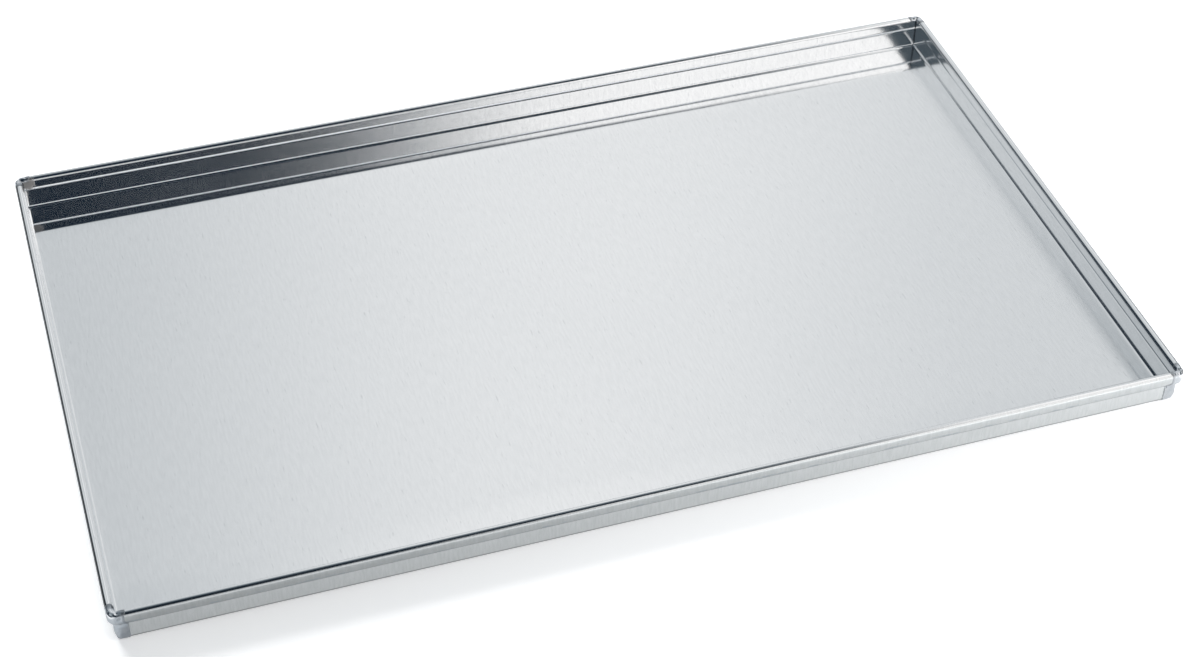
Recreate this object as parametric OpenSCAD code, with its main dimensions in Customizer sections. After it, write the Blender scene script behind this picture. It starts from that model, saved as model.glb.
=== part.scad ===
/* [Tray] */
// Length over the rim
tray_length = 530; // [300:5:800]
// Width over the rim
tray_width = 325; // [200:5:600]
// Height from the table to the top of the rim
tray_height = 20; // [16:1:60]

/* [Sheet] */
// Thickness of the sheet that the whole pan is folded from
sheet_thickness = 1; // [0.8:0.1:1.5]
// Inside radius of the fold between the floor and a wall
floor_fold_r = 1.5; // [0.75:0.25:3]
// Open seam that is left between two walls where they meet in a corner
seam_gap = 0.2; // [0.1:0.05:0.4]

/* [Rim] */
// Diameter of the wire that the rim is folded round
wire_diameter = 1.9; // [1.5:0.1:2.5]
// Play between the wire and the sheet round it
wire_play = 0.05; // [0.02:0.01:0.2]
// Height of the folded rim, from its lower edge to its top
rim_height = 7.3; // [6.5:0.1:10]
// Gap between the cut edge of the sheet and the wall that it is folded back to
lip_gap = 0.1; // [0.05:0.05:0.3]
// Distance from the end of a folded rim to the outside of the tray's corner
rim_end_inset = 7.5; // [6:0.25:10]
// Radius of the lower corner at each end of a folded rim
rim_end_foot_r = 3; // [1.5:0.25:3.5]
// Radius of the upper corner at each end of a folded rim
rim_end_top_r = 1.5; // [0.5:0.25:1.75]
// Distance that a wire stops short of the end of its rim
wire_end_inset = 0.5; // [0.25:0.25:3]

/* [Pressed line] */
// Height of the line's middle above the lower edge of the rim
press_line_rise = 0.6; // [0.2:0.1:1.5]
// Height of the line that pressing the rim shut leaves on the inside of a wall
press_line_height = 1.2; // [0.6:0.1:1.6]
// Distance that the line stands proud of the inside of a wall
press_line_depth = 0.15; // [0.05:0.05:0.25]

/* [Corner welds] */
// Length of a weld along each wall, measured from the outside corner of the walls
weld_leg = 6; // [5:0.25:7]
// Distance that a weld stands proud of the outside of a wall
weld_proud = 0.8; // [0.4:0.1:1.2]
// Radius of a weld's upright corner, below the rim
weld_corner_r = 3; // [2:0.25:3.75]
// Radius of a weld's edge where it meets a wall
weld_toe_r = 0.35; // [0.2:0.05:0.4]
// Radius of a weld's lower edge
weld_foot_r = 3; // [2:0.25:3.5]
// Height of a weld's lowest point above the table
weld_lift = 0.25; // [0.15:0.05:0.5]
// Radius, seen from above, of the cap that joins two rims
cap_corner_r = 4.5; // [4.25:0.25:5.5]
// Height of the taper from a cap down to the weld below it
cap_taper_height = 4; // [2:0.5:6]
// Distance that the taper reaches up into a cap
cap_taper_lap = 1.8; // [1:0.1:1.9]

/* [Hidden] */
$fn = 96;

// Distance that a cutting shape runs past what it cuts
overrun = 1;

// The rim is a fold round the wire, so the wire and the sheet give its radii and its width
bead_r_in = wire_diameter / 2 + wire_play;
bead_r_out = bead_r_in + sheet_thickness;
rim_width = 2 * bead_r_out;

// Heights of the rim's lower edge and of the axes of its two folds
rim_foot_z = tray_height - rim_height;
curl_axis_z = rim_foot_z + bead_r_out;
top_axis_z = tray_height - bead_r_out;

// Distances of the walls' inner faces from the middle of the tray
wall_in_x = tray_length / 2 - rim_width;
wall_in_y = tray_width / 2 - rim_width;
fold_r_out = floor_fold_r + sheet_thickness;

// A side is drawn as the front one and turned round the middle of the tray
function side_turn(side) = side == "right" ? 90 : side == "back" ? 180 : side == "left" ? 270 : 0;
function is_short(side) = side == "left" || side == "right";
function side_reach(side) = is_short(side) ? wall_in_x : wall_in_y;
function wall_half_run(side) = is_short(side) ? wall_in_y : wall_in_x;
function rim_half_run(side) = wall_half_run(side) + rim_width - rim_end_inset;

// Turns what is drawn for the front side, with its wall's inner face on y = 0, to a side
module on_side(side) {
    rotate([0, 0, side_turn(side)])
        translate([0, -side_reach(side), 0])
            children();
}

// Runs a section along a side: its x points out of the tray and its y points up
module run_section(half_run) {
    rotate([90, 0, -90])
        linear_extrude(2 * half_run, center = true)
            children();
}

// Runs an elevation of a side outwards: its x lies along the side and its y points up
module run_elevation(near, far) {
    translate([0, -near, 0])
        rotate([90, 0, 0])
            linear_extrude(far - near)
                children();
}

module square_between(low, high) {
    translate(low)
        square(high - low);
}

// Quarter of a ring of sheet: x_sign and y_sign choose the quadrant
module sheet_bend(r_in, x_sign, y_sign) {
    r_out = r_in + sheet_thickness;
    intersection() {
        difference() {
            circle(r_out);
            circle(r_in);
        }
        translate([x_sign > 0 ? 0 : -r_out, y_sign > 0 ? 0 : -r_out])
            square(r_out);
    }
}

// Section of a wall: a strip of the floor, the fold, the upright and the pressed line
module wall_section() {
    square_between([-floor_fold_r - sheet_thickness, 0], [-floor_fold_r, sheet_thickness]);
    translate([-floor_fold_r, fold_r_out])
        sheet_bend(floor_fold_r, 1, -1);
    square_between([0, fold_r_out], [sheet_thickness, top_axis_z]);
    press_line_section();
}

// The line is the crown of a circle whose edge stands proud of the inner face
module press_line_section() {
    line_r = (pow(press_line_height / 2, 2) + pow(press_line_depth, 2)) / (2 * press_line_depth);
    intersection() {
        translate([line_r - press_line_depth, rim_foot_z + press_line_rise])
            circle(line_r);
        square_between([-press_line_depth - overrun, 0], [sheet_thickness / 2, top_axis_z]);
    }
}

// Section of a folded rim: over the wire, down the outside and back to the wall
module rim_section() {
    translate([bead_r_out, top_axis_z]) {
        sheet_bend(bead_r_in, -1, 1);
        sheet_bend(bead_r_in, 1, 1);
    }
    square_between([rim_width - sheet_thickness, curl_axis_z], [rim_width, top_axis_z]);
    translate([bead_r_out, curl_axis_z])
        sheet_bend(bead_r_in, 1, -1);
    square_between(
        [sheet_thickness + lip_gap, rim_foot_z],
        [bead_r_out, rim_foot_z + sheet_thickness]
    );
}

// Outline of a folded rim, filled, which a corner's cap carries on round the corner
module rim_outline() {
    translate([bead_r_out, top_axis_z])
        circle(bead_r_out);
    square_between([0, curl_axis_z], [rim_width, top_axis_z]);
    translate([bead_r_out, curl_axis_z])
        circle(bead_r_out);
    square_between([0, rim_foot_z], [bead_r_out, curl_axis_z]);
}

// Elevation of the room that a folded rim takes up, with the round corners of its ends.
// Its top and its foot run on by the given distances where they are flat.
module rim_elevation(half_run, above, below) {
    foot_run = half_run - rim_end_foot_r;
    top_run = half_run - rim_end_top_r;
    foot_corner_z = rim_foot_z + rim_end_foot_r;
    top_corner_z = tray_height - rim_end_top_r;
    square_between([-foot_run, rim_foot_z - below], [foot_run, foot_corner_z]);
    square_between([-half_run, foot_corner_z], [half_run, top_corner_z]);
    square_between([-top_run, top_corner_z], [top_run, tray_height + above]);
    for (end = [-1, 1]) {
        translate([end * foot_run, foot_corner_z])
            circle(rim_end_foot_r);
        translate([end * top_run, top_corner_z])
            circle(rim_end_top_r);
    }
}

// Plan of one wall and its fold, mitred so that an open seam is left at each end
module mitred_plan(side) {
    fold_run = wall_half_run(side) - floor_fold_r - seam_gap / sqrt(2);
    spread = floor_fold_r + rim_width;
    translate([0, floor_fold_r])
        polygon([
            [-fold_run, sheet_thickness + overrun],
            [fold_run, sheet_thickness + overrun],
            [fold_run, 0],
            [fold_run + spread, -spread],
            [-fold_run - spread, -spread],
            [-fold_run, 0]
        ]);
}

module wall(side) {
    intersection() {
        run_section(wall_half_run(side) + rim_width)
            wall_section();
        translate([0, 0, -overrun])
            linear_extrude(tray_height + 2 * overrun)
                mitred_plan(side);
    }
}

module folded_rim(side) {
    intersection() {
        run_section(wall_half_run(side) + rim_width)
            rim_section();
        run_elevation(-overrun, rim_width + overrun)
            rim_elevation(rim_half_run(side), overrun, overrun);
    }
}

module floor_plate() {
    translate([floor_fold_r - wall_in_x, floor_fold_r - wall_in_y, 0])
        cube([2 * (wall_in_x - floor_fold_r), 2 * (wall_in_y - floor_fold_r), sheet_thickness]);
}

// One blank of sheet: the floor, four walls folded up and four rims folded over
module pan_sheet() {
    color("silver") {
        floor_plate();
        for (side = ["front", "right", "back", "left"])
            on_side(side) {
                wall(side);
                folded_rim(side);
            }
    }
}

// Straight stiffening wire in the upper fold of one rim
module rim_wire(side) {
    half_run = rim_half_run(side) - wire_end_inset;
    color("slategray")
        on_side(side)
            translate([-half_run, -bead_r_out, top_axis_z])
                rotate([0, 90, 0])
                    cylinder(h = 2 * half_run, d = wire_diameter);
}

// Distances of a weld's toe and of its outer face from the planes of the walls' inner faces
weld_toe_inset = weld_leg - sheet_thickness;
weld_out = sheet_thickness + weld_proud;

// Section of the pan without its rims, filled: a weld lies on the outside of it
module pan_section() {
    inward = weld_toe_inset + cap_corner_r + overrun;
    square_between([-inward, 0], [-floor_fold_r, top_axis_z]);
    square_between([-inward, fold_r_out], [sheet_thickness, top_axis_z]);
    translate([-floor_fold_r, fold_r_out])
        circle(fold_r_out);
}

// Section of the bar that a weld's lower part is cut from, with its round lower edge
module weld_bar_section() {
    foot_axis = [weld_out - weld_foot_r, weld_lift + weld_foot_r];
    square_between([-weld_toe_inset, weld_lift], [foot_axis.x, curl_axis_z]);
    square_between([-weld_toe_inset, foot_axis.y], [weld_out, curl_axis_z]);
    translate(foot_axis)
        circle(weld_foot_r);
}

// Half of that bar's plan, from the middle of its round corner to the toe along one wall
module weld_bar_half_plan() {
    corner_axis = weld_out - weld_corner_r;
    toe_axis = [weld_toe_r - weld_toe_inset, weld_out - weld_toe_r];
    square_between([-weld_toe_inset, -weld_toe_inset], [corner_axis, toe_axis.y]);
    square_between([toe_axis.x, -weld_toe_inset], [corner_axis, weld_out]);
    translate(toe_axis)
        circle(weld_toe_r);
    translate([corner_axis, corner_axis])
        circle(weld_corner_r);
}

// Lower part of a weld, up to the cap, still filled where the pan is
module weld_bar() {
    intersection() {
        translate([wall_in_x, -wall_in_y, 0])
            mirror([0, 1, 0])
                linear_extrude(curl_axis_z) {
                    weld_bar_half_plan();
                    mirror([1, -1])
                        weld_bar_half_plan();
                }
        on_side("front")
            run_section(wall_half_run("front") + rim_width)
                weld_bar_section();
        on_side("right")
            run_section(wall_half_run("right") + rim_width)
                weld_bar_section();
    }
}

// Straight end of a cap, which carries a folded rim on: end is its end of the side, -1 or 1
module cap_leg(side, end) {
    toe = wall_half_run(side) - weld_toe_inset;
    bend = wall_half_run(side) + rim_width - cap_corner_r;
    on_side(side)
        translate([end * (toe + bend) / 2, 0, 0])
            run_section((bend - toe) / 2)
                rim_outline();
}

// Round corner of a cap, and the taper that brings it in to the weld below the rim
module cap_corner() {
    // How far the cap's axis lies outside the axis of the lower weld's round corner, in x and in y
    axis_shift = rim_width - cap_corner_r - weld_out + weld_corner_r;
    taper_foot_r = weld_corner_r - norm([axis_shift, axis_shift]);
    translate([wall_in_x + rim_width - cap_corner_r, cap_corner_r - wall_in_y - rim_width, 0]) {
        rotate([0, 0, -90])
            rotate_extrude(angle = 90)
                intersection() {
                    translate([cap_corner_r - rim_width, 0])
                        rim_outline();
                    square([cap_corner_r + overrun, tray_height + overrun]);
                }
        translate([0, 0, rim_foot_z + cap_taper_lap - cap_taper_height])
            cylinder(h = cap_taper_height, r1 = max(0, taper_foot_r), r2 = cap_corner_r - weld_toe_r);
    }
}

// Weld metal at the front right corner: all that lies outside the pan and its rims
module corner_weld() {
    color("gainsboro")
        difference() {
            union() {
                cap_leg("front", 1);
                cap_leg("right", -1);
                cap_corner();
                weld_bar();
            }
            intersection() {
                on_side("front")
                    run_section(wall_half_run("front") + rim_width)
                        pan_section();
                on_side("right")
                    run_section(wall_half_run("right") + rim_width)
                        pan_section();
            }
            for (side = ["front", "right"])
                on_side(side)
                    run_elevation(-overrun, rim_width + overrun)
                        rim_elevation(rim_half_run(side), overrun, 0);
        }
}

pan_sheet();
rim_wire("front");  // rim_wire_front
rim_wire("back");  // rim_wire_back
rim_wire("left");  // rim_wire_left
rim_wire("right");  // rim_wire_right
mirror([1, 0, 0]) corner_weld();  // corner_weld_front_left
corner_weld();  // corner_weld_front_right
rotate([0, 0, 180]) corner_weld();  // corner_weld_back_left
mirror([0, 1, 0]) corner_weld();  // corner_weld_back_right
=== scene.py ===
import math
from collections import namedtuple

import bmesh
import bpy
from mathutils import Matrix, Vector, noise
from mathutils.bvhtree import BVHTree


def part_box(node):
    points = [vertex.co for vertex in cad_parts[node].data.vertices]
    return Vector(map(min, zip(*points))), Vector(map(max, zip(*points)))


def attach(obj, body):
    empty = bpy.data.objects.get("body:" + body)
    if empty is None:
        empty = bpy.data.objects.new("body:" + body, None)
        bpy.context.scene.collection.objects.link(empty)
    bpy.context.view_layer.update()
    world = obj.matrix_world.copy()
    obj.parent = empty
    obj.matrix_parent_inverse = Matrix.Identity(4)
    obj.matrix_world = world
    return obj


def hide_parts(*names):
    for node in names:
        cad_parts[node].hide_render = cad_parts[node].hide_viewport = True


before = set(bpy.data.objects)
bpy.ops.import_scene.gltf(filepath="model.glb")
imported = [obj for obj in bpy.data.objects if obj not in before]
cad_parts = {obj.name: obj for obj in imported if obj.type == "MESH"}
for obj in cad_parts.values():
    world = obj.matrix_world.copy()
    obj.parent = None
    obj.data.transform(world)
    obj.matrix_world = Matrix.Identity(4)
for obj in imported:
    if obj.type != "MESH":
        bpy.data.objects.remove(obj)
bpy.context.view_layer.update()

MM = 0.001

# Sizes that the frame gives
PAN_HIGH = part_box("pan_sheet")[1]
FRONT_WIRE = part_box("rim_wire_front")
RIGHT_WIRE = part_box("rim_wire_right")
TOP_AXIS_Z = (FRONT_WIRE[0].z + FRONT_WIRE[1].z) / 2
BEAD_R = PAN_HIGH.z - TOP_AXIS_Z
RIM_WIDTH = 2 * BEAD_R
WALL_IN_X = PAN_HIGH.x - RIM_WIDTH
WALL_IN_Y = PAN_HIGH.y - RIM_WIDTH

# Sizes of the folded sheet
SHEET = 1 * MM
FOLD_R = 1.5 * MM
RIM_HEIGHT = 7.3 * MM
LIP_GAP = 0.1 * MM
SEAM_GAP = 0.2 * MM
WIRE_END_INSET = 0.5 * MM
RIM_END_FOOT_R = 3 * MM
RIM_END_TOP_R = 0.3 * MM
RIM_END_LAP = 0.9 * MM
RIM_END_SINK = 0.12 * MM
RIM_FOOT_Z = PAN_HIGH.z - RIM_HEIGHT
CURL_AXIS_Z = RIM_FOOT_Z + BEAD_R
RIM_HALF_RUN_X = FRONT_WIRE[1].x + WIRE_END_INSET
RIM_HALF_RUN_Y = RIGHT_WIRE[1].y + WIRE_END_INSET

# The line that pressing the rim shut leaves on the inside of a wall
PRESS_LINE_Z = RIM_FOOT_Z + 0.5 * MM
PRESS_LINE_BELOW = 0.7 * MM
PRESS_LINE_ABOVE = 0.8 * MM
PRESS_LINE_DEPTH = 0.34 * MM

# Along the wall the line's depth changes slowly: the wave's values at its least share and at its full depth
PRESS_LINE_WAVE_LENGTH = 9 * MM
PRESS_LINE_WAVE_SPAN = (0.3, 0.6)
PRESS_LINE_LEAST_SHARE = 0.92

# On the right wall, the second side that is folded, the line is weaker and breaks off in one place
RIGHT_SIDE = 1
PRESS_LINE_RIGHT_SHARE = 0.35
PRESS_LINE_BREAK_AT = -38 * MM
PRESS_LINE_BREAK_EDGE = (1 * MM, 3 * MM)

# Small unevenness of thin sheet that has been folded and pressed
WAVE_SEED_Y_SHARE = 0.37
WAVE_SEED_Z_SHARE = 0.61
FLOOR_WAVE = 0.12 * MM
FLOOR_WAVE_LENGTH = 85 * MM
FLOOR_WAVE_MARGIN = (4 * MM, 18 * MM)
WALL_WAVE = 0.1 * MM
WALL_WAVE_LENGTH = 60 * MM
RIM_DENT = 0.05 * MM
RIM_DENT_LENGTH = 11 * MM
RIM_DENT_RISE = 0.4
RIM_DENT_FROM_SHARE = 1.3

# Cells of the sheet's mesh, and rows of vertices as shares of the way from one height to the next
CELL = 3.6 * MM
FOLD_STEPS = 8
BEAD_STEPS = 16
CURL_STEPS = 8
BELOW_LINE_SHARES = (0.33, 0.66, 0.95, 1)
LINE_RISE_SHARES = (0.66, 0.33, 0.1)
LINE_FALL_SHARES = (0.06, 0.3, 0.55, 0.8, 1)
ROW_OVER_LINE = 0.3 * MM
ROW_UNDER_BEAD = 1.5 * MM
RIM_DROP_SHARES = (0.25, 0.5, 0.75, 1)

# Under these two lengths, places count as level and points as one
TINY = 0.01 * MM
SAME_POINT = 0.001 * MM

SHARP_ANGLE = math.radians(40)
QUARTER = Matrix.Rotation(-math.pi / 2, 3, "Z")


# Nodes

def add_node(tree, kind, inputs=None, **settings):
    """A node with its settings made, and its inputs set to values or linked to other nodes' sockets."""
    node = tree.nodes.new(kind)
    for name, value in settings.items():
        setattr(node, name, value)
    for name, value in (inputs or {}).items():
        if isinstance(value, bpy.types.NodeSocket):
            tree.links.new(value, node.inputs[name])
        else:
            node.inputs[name].default_value = value
    return node


def maths(tree, operation, first, second=0.0, third=0.0):
    """The output of a Math node."""
    inputs = {0: first, 1: second, 2: third}
    return add_node(tree, "ShaderNodeMath", inputs, operation=operation).outputs[0]


def times(tree, first, second):
    """The product of two values."""
    return maths(tree, "MULTIPLY", first, second)


def raised(tree, value, mask, step):
    """value, with a step added to it where a mask is 1."""
    return maths(tree, "MULTIPLY_ADD", mask, step, value)


def ramp(tree, value, low, high, start=0.0, end=1.0):
    """value taken smoothly from low..high to start..end."""
    inputs = {"Value": value, "From Min": low, "From Max": high, "To Min": start, "To Max": end}
    node = add_node(tree, "ShaderNodeMapRange", inputs, interpolation_type="SMOOTHSTEP")
    return node.outputs["Result"]


def noise_of(tree, place, scale, detail):
    """A noise round 0.5."""
    inputs = {"Vector": place, "Scale": scale, "Detail": detail}
    return add_node(tree, "ShaderNodeTexNoise", inputs).outputs["Fac"]


def parts_of(tree, place):
    """The X, Y and Z of a place."""
    return add_node(tree, "ShaderNodeSeparateXYZ", {"Vector": place}).outputs


def object_place(tree):
    """The place of a point in the part's frame."""
    return add_node(tree, "ShaderNodeTexCoord").outputs["Object"]


def mask_named(tree, name):
    """A mask that the mesh carries on its vertices."""
    return add_node(tree, "ShaderNodeAttribute", attribute_name=name).outputs["Fac"]


def mix_colours(tree, share, first, second):
    """first where share is 0, second where it is 1."""
    inputs = {0: share, 6: first, 7: second}
    return add_node(tree, "ShaderNodeMix", inputs, data_type="RGBA").outputs[2]


def coated(tree, colour, mask, coat):
    """colour, covered by a coat where a mask is 1."""
    return mix_colours(tree, times(tree, mask, coat.strength), colour, coat.colour)


def new_group(name, inputs, outputs):
    """An empty node group with its sockets, its input node and its output node."""
    tree = bpy.data.node_groups.new(name, "ShaderNodeTree")
    for socket, kind, value in inputs:
        made = tree.interface.new_socket(socket, in_out="INPUT", socket_type=kind)
        if value is not None:
            made.default_value = value
    for socket, kind in outputs:
        tree.interface.new_socket(socket, in_out="OUTPUT", socket_type=kind)
    return tree, tree.nodes.new("NodeGroupInput"), tree.nodes.new("NodeGroupOutput")


def use_group(tree, group, inputs):
    """A shared group placed in a material with that material's own values."""
    return add_node(tree, "ShaderNodeGroup", inputs, node_tree=group)


def new_material(name):
    """A material with a metal shader, and its tree."""
    material = bpy.data.materials.new(name)
    material.use_nodes = True
    tree = material.node_tree
    tree.nodes.clear()
    shader = add_node(tree, "ShaderNodeBsdfPrincipled", {"Metallic": 1.0})
    add_node(tree, "ShaderNodeOutputMaterial", {"Surface": shader.outputs["BSDF"]})
    return material, tree, shader


# Shared effects

# The values between which nearly all of a noise lies
NOISE_SPAN = (0.3, 0.7)
FINE_DETAIL = 2.0
MIDDLE_DETAIL = 3.0
RICH_DETAIL = 4.0

STREAKS_PER_METRE = 1400.0
STREAK_STRETCH = 0.14
SLOW_STREAK_SHARE = 0.6

MARKS_PER_METRE = 1100.0
MARK_AMOUNT = 0.5
SCRATCH_TURN = (0, 0, 0.03)
SCRATCH_STRETCH = (1, 0.13, 1)
SCRATCH_THRESHOLD = 0.76
SCRATCH_THRESHOLD_DROP = 0.2
SCRATCH_EDGE = 0.06
NICK_CELLS_PER_METRE = 160.0
NICK_EDGE = (0.035, 0.06)
NICK_CHOICE = (0.93, 0.95)

BLOTCHES_PER_METRE = 12.0


def rolled_grain_group():
    """Streaks that rolling leaves: their height, and a tone that varies from streak to streak."""
    tree, given, result = new_group(
        "rolled_grain",
        [
            ("Place", "NodeSocketVector", None),
            ("Streaks per metre", "NodeSocketFloat", STREAKS_PER_METRE),
            ("Stretch", "NodeSocketFloat", STREAK_STRETCH),
        ],
        [("Height", "NodeSocketFloat"), ("Tone", "NodeSocketFloat")],
    )
    place = parts_of(tree, given.outputs["Place"])
    along = times(tree, place["Y"], given.outputs["Stretch"])
    stretched = add_node(tree, "ShaderNodeCombineXYZ", {"X": place["X"], "Y": along, "Z": place["Z"]})
    scale = given.outputs["Streaks per metre"]
    height = noise_of(tree, stretched.outputs[0], scale, MIDDLE_DETAIL)
    slow_scale = times(tree, scale, SLOW_STREAK_SHARE)
    tone = noise_of(tree, stretched.outputs[0], slow_scale, RICH_DETAIL)
    tree.links.new(height, result.inputs["Height"])
    tree.links.new(tone, result.inputs["Tone"])
    return tree


def handling_marks_group():
    """Short fine scratches along the grain and a few nicks, as a mask."""
    tree, given, result = new_group(
        "handling_marks",
        [
            ("Place", "NodeSocketVector", None),
            ("Marks per metre", "NodeSocketFloat", MARKS_PER_METRE),
            ("Amount", "NodeSocketFloat", MARK_AMOUNT),
        ],
        [("Mask", "NodeSocketFloat")],
    )
    place = given.outputs["Place"]
    turn = {"Vector": place, "Rotation": SCRATCH_TURN, "Scale": SCRATCH_STRETCH}
    turned = add_node(tree, "ShaderNodeMapping", turn).outputs[0]
    streaks = noise_of(tree, turned, given.outputs["Marks per metre"], FINE_DETAIL)
    threshold = raised(tree, SCRATCH_THRESHOLD, given.outputs["Amount"], -SCRATCH_THRESHOLD_DROP)
    scratches = ramp(tree, streaks, threshold, maths(tree, "ADD", threshold, SCRATCH_EDGE))
    cells = add_node(tree, "ShaderNodeTexVoronoi", {"Vector": place, "Scale": NICK_CELLS_PER_METRE})
    nicks = ramp(tree, cells.outputs["Distance"], *NICK_EDGE, 1.0, 0.0)
    kept = ramp(tree, parts_of(tree, cells.outputs["Color"])["X"], *NICK_CHOICE)
    mask = maths(tree, "MAXIMUM", scratches, times(tree, nicks, kept))
    tree.links.new(mask, result.inputs["Mask"])
    return tree


def soft_blotches_group():
    """Slow changes over a surface, from 0 to 1."""
    tree, given, result = new_group(
        "soft_blotches",
        [
            ("Place", "NodeSocketVector", None),
            ("Blotches per metre", "NodeSocketFloat", BLOTCHES_PER_METRE),
        ],
        [("Value", "NodeSocketFloat")],
    )
    slow = noise_of(tree, given.outputs["Place"], given.outputs["Blotches per metre"], MIDDLE_DETAIL)
    tree.links.new(ramp(tree, slow, *NOISE_SPAN), result.inputs["Value"])
    return tree


# The aluminium sheet

# Something that lies over the metal: how strongly it covers it, and its colour
Coat = namedtuple("Coat", "strength colour")
MARK_COAT = Coat(0.25, (0.5, 0.52, 0.54, 1))
# Painted shade: a dark coat on the outer flanks of the rims
PAINTED_RIM_SHADE_COAT = Coat(1.0, (0.03, 0.038, 0.046, 1))
SMUDGE_COAT = Coat(0.55, (0.38, 0.44, 0.5, 1))
SCUFF_COAT = Coat(0.6, (0.82, 0.87, 0.92, 1))
HEAT_COAT = Coat(1.0, (0.31, 0.3, 0.295, 1))
SEAM_COAT = Coat(1.0, (0.1, 0.11, 0.13, 1))
# Painted shade: a dark coat under the rims' feet and on the outer side of the floor's fold
PAINTED_UNDERSIDE_SHADE_COAT = Coat(0.75, (0.2, 0.21, 0.22, 1))

# The darkest and the lightest streak, inside the tray and on its duller outside
SHEET_TONES = ((0.885, 0.893, 0.9, 1), (0.925, 0.932, 0.938, 1))
OUTSIDE_TONES = ((0.76, 0.785, 0.785, 1), (0.83, 0.85, 0.855, 1))

SHEET_ROUGHNESS = (0.066, 0.084)
BLOTCH_ROUGHER = 0.01
OUTSIDE_ROUGHER = 0.05
SCUFF_ROUGHER = 0.17
HEAT_ROUGHER = 0.3
WEAR_ROUGHER = 0.045

GRAIN_DEPTH = 0.0015 * MM
GRAIN_STRENGTH = 0.5
MARK_DEPTH_SHARE = 0.4

SPECKS_PER_METRE = 600.0
SCUFF_LEAST = 0.6
SCUFF_SPECKS = 0.7
SCUFF_EDGE = (0.3, 0.8)

HEAT_PLACE = Vector((-258.2, 158, 17)) * MM
HEAT_EDGE = (3.4 * MM, 5.4 * MM)
HEAT_MOST = 0.9
HEAT_RAGGED = 1.5 * MM

# How far inside the walls the dark line down a corner starts, and where it is full
SEAM_ALONG_SIDE = (0.75 * MM, 0.4 * MM)
SEAM_ALONG_FRONT = (0.4 * MM, 0.2 * MM)
SEAM_LOW = (2 * SHEET, 3 * SHEET)
SEAM_DARKNESS = (0.2, 0.85)

FLOOR_RISE = 0.4 * MM
UNWORN_STRIP = (34 * MM, 20 * MM)

SMUDGE_Z = RIM_FOOT_Z + 1.7 * MM
SMUDGE_REACH = (0.3 * MM, 1 * MM)
SMUDGE_STRETCH = (0.16, 0.16, 1)
SMUDGES_PER_METRE = 1100.0
SMUDGE_CHOICE = (0.47, 0.6)


def heat_patch(tree, place, blotches):
    """Where welding has tinted the sheet, beside the left weld at the back."""
    ends = {0: place, 1: HEAT_PLACE[:]}
    away = add_node(tree, "ShaderNodeVectorMath", ends, operation="DISTANCE").outputs["Value"]
    return ramp(tree, raised(tree, away, blotches, HEAT_RAGGED), *HEAT_EDGE, HEAT_MOST, 0.0)


def seam_shade(tree, place):
    """Where welding has darkened the sheet, in a thin line down each inner corner."""
    parts = parts_of(tree, place)
    across = maths(tree, "ABSOLUTE", parts["X"])
    along = maths(tree, "ABSOLUTE", parts["Y"])
    near_side = ramp(tree, across, WALL_IN_X - SEAM_ALONG_SIDE[0], WALL_IN_X - SEAM_ALONG_SIDE[1])
    near_front = ramp(tree, along, WALL_IN_Y - SEAM_ALONG_FRONT[0], WALL_IN_Y - SEAM_ALONG_FRONT[1])
    above = ramp(tree, parts["Z"], *SEAM_LOW, *SEAM_DARKNESS)
    return times(tree, times(tree, near_side, near_front), above)


def floor_wear(tree, place):
    """Where use has dulled the floor: all of it but the strips beside the long walls."""
    parts = parts_of(tree, place)
    along = maths(tree, "ABSOLUTE", parts["Y"])
    low = ramp(tree, parts["Z"], SHEET, SHEET + FLOOR_RISE, 1.0, 0.0)
    middle = ramp(tree, along, WALL_IN_Y - UNWORN_STRIP[0], WALL_IN_Y - UNWORN_STRIP[1], 1.0, 0.0)
    return times(tree, low, middle)


def press_smudges(tree, place, outside):
    """Faint dashes that the press leaves on the outer face of a rim, just above its foot."""
    stretched = add_node(tree, "ShaderNodeMapping", {"Vector": place, "Scale": SMUDGE_STRETCH})
    dashes = noise_of(tree, stretched.outputs[0], SMUDGES_PER_METRE, MIDDLE_DETAIL)
    height = maths(tree, "SUBTRACT", parts_of(tree, place)["Z"], SMUDGE_Z)
    near = ramp(tree, maths(tree, "ABSOLUTE", height), *SMUDGE_REACH, 1.0, 0.0)
    kept = ramp(tree, dashes, *SMUDGE_CHOICE)
    return times(tree, times(tree, near, kept), outside)


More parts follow.
